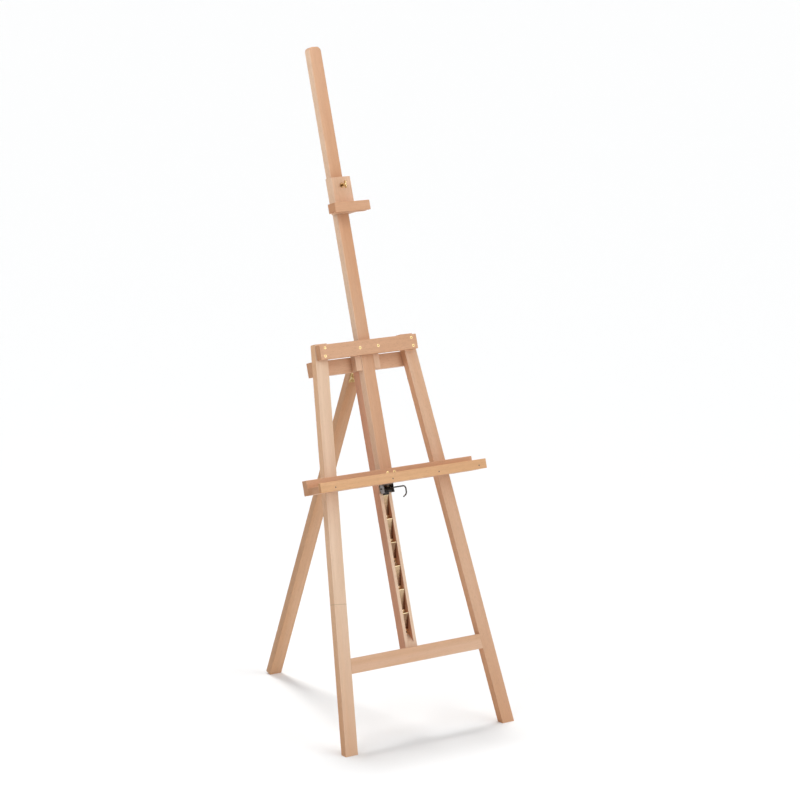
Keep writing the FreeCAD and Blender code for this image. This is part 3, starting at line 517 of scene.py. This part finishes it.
def metal(name, bright, dull, roughness, scratch=(1, 1, 1), wear_and_highlight=None):
    """Plated metal: a polished tone with dull cloudy patches, and fine scratches one way.

    A third tone, if given, goes on the bends and flats that look up the slope: partly wear where they get rubbed,
    partly painted highlight, as light from above falls on them; faces that look down the slope keep the darker
    tones as painted shade."""
    material = bpy.data.materials.new(name)
    material.use_nodes = True
    tree = material.node_tree
    shader = tree.nodes["Principled BSDF"]
    place = lay(tree, "ShaderNodeTexCoord").outputs["Object"]
    cloud = lay(tree, "ShaderNodeTexNoise", Vector=place, Scale=140.0, Detail=4.0).outputs["Fac"]
    drawn = lay(tree, "ShaderNodeMapping", Vector=place, Scale=scratch).outputs["Vector"]
    lines = lay(tree, "ShaderNodeTexNoise", Vector=drawn, Scale=2600.0, Detail=2.0).outputs["Fac"]
    tone = mix(tree, between(tree, cloud, 0.35, 0.75), bright, dull)
    # Painted highlight, partly wear: faces that look up the slope take the third tone, and the others keep the
    # darker tones as painted shade.
    if wear_and_highlight:
        facing = lay(tree, "ShaderNodeVectorMath", operation="DOT_PRODUCT")
        tree.links.new(lay(tree, "ShaderNodeTexCoord").outputs["Normal"], facing.inputs[0])
        facing.inputs[1].default_value = UP_SLOPE
        tone = mix(tree, between(tree, facing.outputs["Value"], *WEAR_AND_HIGHLIGHT_FACING), tone, wear_and_highlight)
    scratched = mix(tree, 0.15, tone, ramp(tree, lines, [(0.3, 0.7), (0.6, 1.0)]), "MULTIPLY")
    tree.links.new(scratched, shader.inputs["Base Color"])
    shader.inputs["Metallic"].default_value = 1.0
    dulled = ramp(tree, cloud, [(0.35, 0.75 * roughness), (0.7, 1.35 * roughness)])
    tree.links.new(dulled, shader.inputs["Roughness"])
    bump = lay(tree, "ShaderNodeBump", Height=lines, Strength=0.05, Distance=0.0001)
    tree.links.new(bump.outputs["Normal"], shader.inputs["Normal"])
    return material


# The rack's dark brass tones stand in for the shade and dark reflection on its down-looking slopes: painted shade
# and painted reflection.
rack_brass = metal("rack_brass", (0.31, 0.18, 0.105), DULL_AND_SHADED_BRASS, 0.34, scratch=(0.04, 1, 1),
                   wear_and_highlight=RUBBED_AND_HIGHLIT_BRASS)

for name in ("rack_strip_lower", "rack_strip_second", "rack_strip_third", "rack_strip_upper"):
    low, high = slope.box(name)
    hole = low[2] + FOOT_BELOW
    floor_y, tip_y = high[1] - RACK_SHEET / 2, low[1] + RACK_SHEET / 2
    teeth = round((high[2] - hole - FIRST_TOOTH) / TOOTH_PITCH) + 1
    fold = [(floor_y, low[2]), (floor_y, hole + FOOT_ABOVE)]
    for tip in hole + FIRST_TOOTH + TOOTH_PITCH * np.arange(teeth) - RACK_SHEET / 2:
        root = tip + SHELF_RISE
        fold += [(tip_y, tip), (tip_y + TOOTH_DEPTH, root), (tip_y + TOOTH_DEPTH, root + ROOT_PAD)]
    fold.pop()  # the last tooth ends at its root, with no pad
    strip = folded_strip(bent(fold, RACK_BEND), [1, 2], (1, 0, 0), RACK_SHEET, high[0] - low[0])
    stand_in(surface(name + "_folded", [strip], slope, rack_brass), name)

# ------------------------------------------------------------------ rack screws
# Flat-headed wood screws with a cross slot. The same turned shape, with its own head,
# serves for every screw of the easel: head, thread and point in one lathe outline.

SLOT_ARM = np.radians([-17, -10, 0, 10, 17, 31, 45, 59])
SLOT_TURNS = np.concatenate([SLOT_ARM + quarter * math.pi / 2 for quarter in range(4)])
BACKWARDS, FORWARDS, UPWARDS = (1, 1), (1, -1), (2, 1)  # axis and way a screw is driven
ARM_EDGE, ARM_FALL = math.radians(17), math.radians(7)
ARM_REACH, HUB_REACH, SLOT_SINK = 0.62, 0.22, 0.42  # as shares of the head's radius
ONE_SCREW, TIP_BAND, LEAST_SINK = 9 * MM, 0.5 * MM, 0.5 * MM


def slot_depth(radius, head):
    """Depth of the cross slot under a head: deepest in the middle, nothing past its arms."""
    from_arm = np.abs((SLOT_TURNS + math.pi / 4) % (math.pi / 2) - math.pi / 4)
    in_arm = np.clip((ARM_EDGE - from_arm) / ARM_FALL, 0, 1)
    hub = np.clip(1.6 - radius / (HUB_REACH * head), 0, 1)
    slope_down = np.clip(1 - radius / (ARM_REACH * head), 0, 1)
    return SLOT_SINK * head * slope_down[:, None] ** 0.7 * np.maximum(in_arm[None], hub[:, None])


def turned_screw(head, shank, sink, length, threaded):
    """A screw about its axis, as (radius, distance) in rows from the head's middle over its
    rim and down to the point.

    The thread's radius follows a triangle wave of distance / pitch - turn / 2 pi."""
    crown = np.linspace(0.04, 1, 9)
    radius = head * crown
    crossed = slot_depth(radius, head) if threaded else np.zeros((1, len(SLOT_TURNS)))
    top_rows = np.stack(np.broadcast_arrays(radius[:, None], crossed), -1)
    pitch = 1.25 * shank
    down = np.arange(sink, length - 2 * shank, pitch / 4)[:, None]
    saw = (down / pitch - SLOT_TURNS[None] / (2 * math.pi)) % 1
    wave = 0.80 + 0.20 * (1 - np.abs(2 * saw - 1)) if threaded else np.ones_like(saw)
    body = shank * wave
    body_rows = np.stack(np.broadcast_arrays(body, down), -1)
    neck = np.array([[0.97 * head, 0.10 * sink], [shank, sink]])
    point = np.array([[0.75 * shank, length - 1.6 * shank], [0.06 * shank, length]])
    turns = len(SLOT_TURNS)
    neck_rows, point_rows = (np.repeat(rows[:, None], turns, 1) for rows in (neck, point))
    return np.concatenate([top_rows, neck_rows, body_rows, point_rows])


def screws(node, way, material, setting=slope, threaded=True):
    """Replace a node of like screws, each one's place and size read from the node's corners."""
    axis, sign = way
    flat = [item for item in range(3) if item != axis]
    left = setting.corners(node)
    grids = []
    while len(left):
        near = np.linalg.norm(left[:, flat] - left[0, flat], axis=1) < ONE_SCREW
        one, left = left[near], left[~near]
        middle = (one[:, flat].min(0) + one[:, flat].max(0)) / 2
        travel = sign * one[:, axis]
        start, length = travel.min(), np.ptp(travel)
        reach = np.linalg.norm(one[:, flat] - middle, axis=1)
        head, shank = reach.max(), reach[travel > travel.max() - TIP_BAND].max()
        sink = travel[reach > 1.05 * shank].max() - start
        rows = turned_screw(head, shank, max(sink, LEAST_SINK), length, threaded)
        grid = np.empty(rows.shape[:2] + (3,))
        grid[..., flat[0]] = middle[0] + rows[..., 0] * np.cos(SLOT_TURNS)
        grid[..., flat[1]] = middle[1] + rows[..., 0] * np.sin(SLOT_TURNS)
        grid[..., axis] = sign * (start + rows[..., 1])
        grids.append(outward(grid))
    stand_in(surface(node + "_turned", grids, setting, material), node)


screw_brass = metal("screw_brass", (0.80, 0.64, 0.34), (0.55, 0.40, 0.18), 0.26)
screw_zinc = metal("screw_zinc", (0.66, 0.66, 0.64), (0.44, 0.44, 0.43), 0.30)
# The rack screws are painted dark as painted shade, standing in for the shade in their slots and holes within the
# bright pads.
rack_screw_painted_shade = metal("rack_screw_painted_shade", (0.22, 0.14, 0.07), (0.10, 0.06, 0.03), 0.4)
screws("rack_screws", BACKWARDS, rack_screw_painted_shade)
screws("rail_screws", FORWARDS, screw_zinc)

# ------------------------------------------------------------------ head
# A beech rail behind the legs and a bridge in front of them close the frame at the top. Two
# blocks between them guide the mast. Zinc screws at the back, brass at the front.

for seed, name in enumerate(("head_rail", "front_bridge"), start=7):
    beech(name, ACROSS, UP_SLOPE, TAN_BEECH, seed)
for seed, name in enumerate(("left_guide_block", "right_guide_block"), start=9):
    beech(name, UP_SLOPE, ACROSS, ROSY_BEECH, seed)
screws("head_screws", FORWARDS, screw_zinc)
screws("guide_block_rear_screws", FORWARDS, screw_zinc)
screws("bridge_screws", BACKWARDS, screw_brass)
screws("guide_block_front_screws", BACKWARDS, screw_brass)

# ------------------------------------------------------------------ mast
# A long beech board with its top corners rounded off. It slides on the rail between the guide blocks, and its left
# side is painted paler: painted light, where light from the upper left falls.

half_mast = slope.box("mast")[1][0]
beech("mast", UP_SLOPE, ACROSS, TAN_BEECH, 11, lit_left_side=(PALE_BEECH, -0.8 * half_mast, -half_mast))

# ------------------------------------------------------------------ tray
# A shelf between a tall rear lip and a low front lip, all beech. Brads pin the front lip, two
# brass screws hold the tray to the mast and four zinc ones hold the shelf from behind.

beech("tray_rear_lip", ACROSS, UP_SLOPE, TAN_BEECH, 12)
beech("tray_shelf", ACROSS, UP_SLOPE, TAN_BEECH, 13)
beech("tray_front_lip", ACROSS, UP_SLOPE, GOLD_BEECH, 14)
brad_steel = metal("brad_steel", (0.14, 0.11, 0.09), (0.07, 0.05, 0.04), 0.5)
screws("lip_pins", BACKWARDS, brad_steel, threaded=False)
screws("shelf_screws", FORWARDS, screw_zinc)
screws("tray_screws", BACKWARDS, screw_brass)

# ------------------------------------------------------------------ ratchet
# Under the tray a bent steel bracket carries a steel rod. The blackened pawl hangs on the
# rod, a coil spring presses it into the rack, and the rod's hooked end is the release lever.

SOFT_EDGE, WELD = 0.35 * MM, 0.01 * MM


def softened(node, material):
    """Replace a node by a copy of its own shape with broken edges, as pressed metal has."""
    mesh = nodes[node].data.copy()
    mesh.name = node + "_softened"
    mesh.materials.clear()
    mesh.materials.append(material)
    piece = bpy.data.objects.new(mesh.name, mesh)
    scene.collection.objects.link(piece)
    weld = piece.modifiers.new("weld", "WELD")
    weld.merge_threshold = WELD
    edges = piece.modifiers.new("broken_edges", "BEVEL")
    edges.width = SOFT_EDGE
    edges.segments = 2
    edges.limit_method = "ANGLE"
    edges.angle_limit = math.radians(60)
    edges.use_clamp_overlap = True
    mesh.shade_smooth()
    mesh.set_sharp_from_angle(angle=math.radians(40))
    stand_in(piece, node)


# The bracket's and the rod's dark tones are painted reflection: they stand in for the dark surroundings that their
# bright steel mirrors.
bracket_steel_dark_reflection = metal("bracket_steel_dark_reflection", (0.27, 0.24, 0.23), (0.13, 0.115, 0.11), 0.20)
pawl_steel = metal("pawl_steel", (0.060, 0.056, 0.054), (0.025, 0.023, 0.022), 0.42)
rod_steel_dark_reflection = metal("rod_steel_dark_reflection", (0.11, 0.10, 0.095), (0.05, 0.045, 0.042), 0.18)
spring_steel = metal("spring_steel", (0.72, 0.72, 0.72), (0.46, 0.46, 0.46), 0.2)
softened("ratchet_bracket", bracket_steel_dark_reflection)
softened("pawl", pawl_steel)
screws("bracket_screws", UPWARDS, screw_zinc)

ROD_RADIUS, ROD_BEND, ROD_DROP = 2 * MM, 8 * MM, 7 * MM
HOOK_BEND, HOOK_ANGLE, HOOK_END = 12 * MM, math.radians(60), 8 * MM
LEAST_GIRTH, ROD_SIDES, WIRE_SIDES = 0.05, 20, 8
rod_low, rod_high = slope.box("release_lever")
rod_y = (rod_low[1] + rod_high[1]) / 2
rod_z = rod_high[2] - ROD_RADIUS
rod_left, rod_right = rod_low[0], rod_high[0] - ROD_RADIUS


def arc(centre, radius, start, end, steps=14):
    """Points of a circle's arc from one angle to another."""
    angle = np.linspace(start, end, steps)
    return np.stack([centre[0] + radius * np.cos(angle), centre[1] + radius * np.sin(angle)], -1)


bend = arc((rod_right - ROD_BEND, rod_z - ROD_BEND), ROD_BEND, math.pi / 2, 0)
hook = arc((rod_right - HOOK_BEND, rod_z - ROD_BEND - ROD_DROP), HOOK_BEND, 0, -HOOK_ANGLE)
hook_way = np.array([-math.sin(HOOK_ANGLE), -math.cos(HOOK_ANGLE)])
straight = np.linspace((rod_left, rod_z), (rod_right - ROD_BEND, rod_z), 12)[:-1]
tail = hook[-1] + hook_way * HOOK_END * np.linspace(0.15, 1, 8)[:, None]
lie = np.concatenate([straight, bend, hook, tail])
# Both ends are domed: extra points close to each end, with the section shrunk to a half ball.
dome_turn = np.linspace(0, math.pi / 2, 6)[1:]
in_from_end = ROD_RADIUS * (1 - np.sin(dome_turn))
lie = np.concatenate([lie[:1] + np.outer(in_from_end[:-1], (1, 0)), lie[1:-1],
                      lie[-1] - np.outer(in_from_end, hook_way)])
far_dome = len(dome_turn)
near_dome = far_dome - 1
lie[:near_dome] = lie[:near_dome][::-1]
girth = np.ones(len(lie))
girth[:near_dome] = np.cos(dome_turn[:-1])[::-1]
girth[-far_dome:] = np.maximum(np.cos(dome_turn), LEAST_GIRTH)
rod_path = np.stack([lie[:, 0], np.full(len(lie), rod_y), lie[:, 1]], -1)
along = np.gradient(lie, axis=0)
along /= np.linalg.norm(along, axis=1)[:, None]
rod_normal = np.stack([-along[:, 1], np.zeros(len(lie)), along[:, 0]], -1)
rod_binormal = np.tile([0.0, 1.0, 0.0], (len(lie), 1))
turn = np.linspace(0, 2 * math.pi, ROD_SIDES, endpoint=False)
circle = ROD_RADIUS * np.stack([np.cos(turn), np.sin(turn)], -1)
rod = carried(rod_path, rod_normal, rod_binormal, girth[:, None, None] * circle)
stand_in(surface("release_lever_bent", [rod], slope, rod_steel_dark_reflection, sharp=60), "release_lever")

SPRING_WIRE, SPRING_TURNS, TURN_STEPS = 0.45 * MM, 5, 28
spring_low, spring_high = slope.box("pawl_spring")
coil_radius = (spring_high[2] - spring_low[2]) / 2 - SPRING_WIRE
wound = np.linspace(0, 1, TURN_STEPS * SPRING_TURNS)
angle = 2 * math.pi * SPRING_TURNS * wound
coil_long = spring_high[0] - spring_low[0] - 2 * SPRING_WIRE
advance = spring_low[0] + SPRING_WIRE + coil_long * wound
spoke = np.stack([np.zeros_like(angle), np.cos(angle), np.sin(angle)], -1)
coil_axis = np.stack([advance, np.full_like(angle, rod_y), np.full_like(angle, rod_z)], -1)
coil_path = spoke * coil_radius + coil_axis
wire_turn = np.linspace(0, 2 * math.pi, WIRE_SIDES, endpoint=False)
wire = SPRING_WIRE * np.stack([np.cos(wire_turn), np.sin(wire_turn)], -1)
coil = carried(coil_path, spoke, np.tile([1.0, 0.0, 0.0], (len(angle), 1)), wire)
stand_in(surface("pawl_spring_coil", [coil], slope, spring_steel, sharp=60), "pawl_spring")

# ------------------------------------------------------------------ top clip
# A beech plate that straddles the mast, with a beech bar screwed to it that presses on the
# canvas. A folded brass keeper holds it from behind, and a brass bush takes the wing screw.

plate_half = slope.box("clip_plate")[1][0]
# Its left side is painted paler: painted light, where light from the upper left falls.
beech("clip_plate", UP_SLOPE, ACROSS, ROSY_BEECH, 16,
      lit_left_side=(PALE_BEECH, -0.9 * plate_half, -plate_half))
beech("clip_bar", ACROSS, UP_SLOPE, TAN_BEECH, 17)
screws("clip_bar_screws", FORWARDS, screw_zinc)
screws("keeper_screws", FORWARDS, screw_brass)

KEEPER_SHEET, KEEPER_BEND, KEEPER_PLAY = 1.5 * MM, 2.2 * MM, 0.4 * MM
keeper_low, keeper_high = slope.box("clip_keeper")
half_sheet = KEEPER_SHEET / 2
keeper_wall = half_mast + KEEPER_PLAY + half_sheet
keeper_tabs, keeper_back = keeper_low[1] + half_sheet, keeper_high[1] - half_sheet
keeper_fold = [(keeper_high[0], keeper_tabs), (keeper_wall, keeper_tabs),
               (keeper_wall, keeper_back), (-keeper_wall, keeper_back),
               (-keeper_wall, keeper_tabs), (keeper_low[0], keeper_tabs)]
keeper = folded_strip(bent(keeper_fold, KEEPER_BEND), [0, 1], (0, 0, 1), KEEPER_SHEET,
                      keeper_high[2] - keeper_low[2])
keeper[..., 2] += (keeper_low[2] + keeper_high[2]) / 2
clip_brass = metal("clip_brass", (0.80, 0.65, 0.36), (0.58, 0.43, 0.20), 0.24)
stand_in(surface("clip_keeper_folded", [keeper], slope, clip_brass), "clip_keeper")


def turned(outline, centre, steps=40):
    """A ring or rod turned about a forward axis, from an outline of (radius, distance)."""
    angle = np.linspace(0, 2 * math.pi, steps, endpoint=False)
    radius, distance = np.asarray(outline, float).T
    grid = np.empty((len(radius), steps, 3))
    grid[..., 0] = centre[0] + radius[:, None] * np.cos(angle)
    grid[..., 1] = centre[1] - distance[:, None]
    grid[..., 2] = centre[2] + radius[:, None] * np.sin(angle)
    return outward(grid)


BORE, FLANGE_OUT, FLANGE_THICK, CHAMFER = 3.05 * MM, 2.5 * MM, 1 * MM, 0.3 * MM
bush_low, bush_high = slope.box("clamp_insert")
bush_centre = (bush_low + bush_high) / 2
flange = (bush_high[0] - bush_low[0]) / 2
barrel, bush_long = flange - FLANGE_OUT, bush_high[1] - bush_low[1]
bush_outline = np.array([(BORE, 0), (barrel - CHAMFER, 0), (barrel, CHAMFER),
                         (barrel, bush_long - FLANGE_THICK),
                         (flange - 0.2 * MM, bush_long - FLANGE_THICK),
                         (flange, bush_long - 0.7 * MM),
                         (flange - CHAMFER, bush_long - 0.1 * MM), (BORE + 0.5 * MM, bush_long),
                         (BORE, bush_long - 0.4 * MM), (BORE, 0)])
bush = turned(bush_outline, (bush_centre[0], bush_high[1], bush_centre[2]))
# The bush's dark brown tone is painted shade: it stands in for the shade around the wing screw's shank on the
# plate.
bush_painted_shade = metal("bush_painted_shade", (0.40, 0.23, 0.11), (0.24, 0.13, 0.06), 0.35)
stand_in(surface("clamp_insert_turned", [bush], slope, bush_painted_shade), "clamp_insert")

# ------------------------------------------------------------------ wing screw
# A brass thumb screw: a tapering hub with two round lobes, slightly dished for the fingers,
# and a shank that stands out of the bush and passes through it to press on the mast.

SHANK, HUB_BACK, HUB_FRONT, HUB_LONG = 3 * MM, 4.2 * MM, 3.2 * MM, 10 * MM
HUB_EDGE, HUB_DOME = 0.4 * MM, 1.6 * MM
LOBE, LOBE_THICK, LOBE_AHEAD, LOBE_OUT = 4.6 * MM, 2.6 * MM, 8 * MM, 6 * MM
LOBE_ROUND, LOBE_DISH = 0.32, 0.30
wing_low, wing_high = slope.box("wing_screw")
wing_z = (wing_low[2] + wing_high[2]) / 2
hub_y = wing_low[1] + LOBE + LOBE_AHEAD
shank_long = wing_high[1] - hub_y
dome = np.linspace(0, math.pi / 2, 7)
hub_outline = np.concatenate([
    [(0.3 * SHANK, -shank_long), (SHANK - HUB_EDGE, -shank_long), (SHANK, HUB_EDGE - shank_long),
     (SHANK, 0), (HUB_BACK - HUB_EDGE, 0), (HUB_BACK, HUB_EDGE)],
    np.stack([HUB_FRONT * np.cos(dome), HUB_LONG - HUB_DOME + HUB_DOME * np.sin(dome)], -1)[:-1]])
hub = turned(hub_outline, (0, hub_y, wing_z))


def lobe(above):
    """A round upright lobe. For a from one face to the other its radius is
    LOBE cos(a)^LOBE_ROUND and its half thickness LOBE_THICK / 2 sin(a), dished by
    1 - LOBE_DISH cos(pi/2 radius / LOBE)."""
    rim = np.linspace(-0.98, 0.98, 19)[:, None] * math.pi / 2
    angle = np.linspace(0, 2 * math.pi, 36, endpoint=False)[None]
    out = LOBE * np.cos(rim) ** LOBE_ROUND
    dish = 1 - LOBE_DISH * np.cos(out / LOBE * math.pi / 2)
    grid = np.empty((rim.size, angle.size, 3))
    grid[..., 0] = LOBE_THICK / 2 * np.sin(rim) * dish
    grid[..., 1] = hub_y - LOBE_AHEAD + out * np.cos(angle)
    grid[..., 2] = wing_z + above + out * np.sin(angle)
    return outward(grid)


wing_brass = metal("wing_brass", (0.86, 0.70, 0.38), (0.62, 0.46, 0.20), 0.2)
wings = [lobe(way * LOBE_OUT) for way in (-1, 1)]
stand_in(surface("wing_screw_cast", [hub] + wings, slope, wing_brass, sharp=55), "wing_screw")

# ------------------------------------------------------------------ rear leg and its hinge
# One beech board, bevelled at the top so that it stops against the rail, square at the foot.
# A brass butt hinge joins it to the rail: two leaves, a pin, and four screws in each leaf.

REAR_LEAN = math.radians(20.2)
hinge_pin = Vector(joints["rear_leg_fold"]["pos_m"])
rear_up = Vector((0, -math.sin(REAR_LEAN), math.cos(REAR_LEAN)))
leaning_leg = Setting(hinge_pin, rear_up)
beech("rear_leg", rear_up, ACROSS, LEAN_BEECH, 18)
hinge_brass = metal("hinge_brass", (0.76, 0.60, 0.31), (0.50, 0.36, 0.16), 0.3)
softened("hinge_leaf_fixed", hinge_brass)
softened("hinge_leaf_moving", hinge_brass)
softened("hinge_pin", hinge_brass)
screws("hinge_screws_fixed", FORWARDS, screw_brass)
screws("hinge_screws_moving", BACKWARDS, screw_brass, leaning_leg)
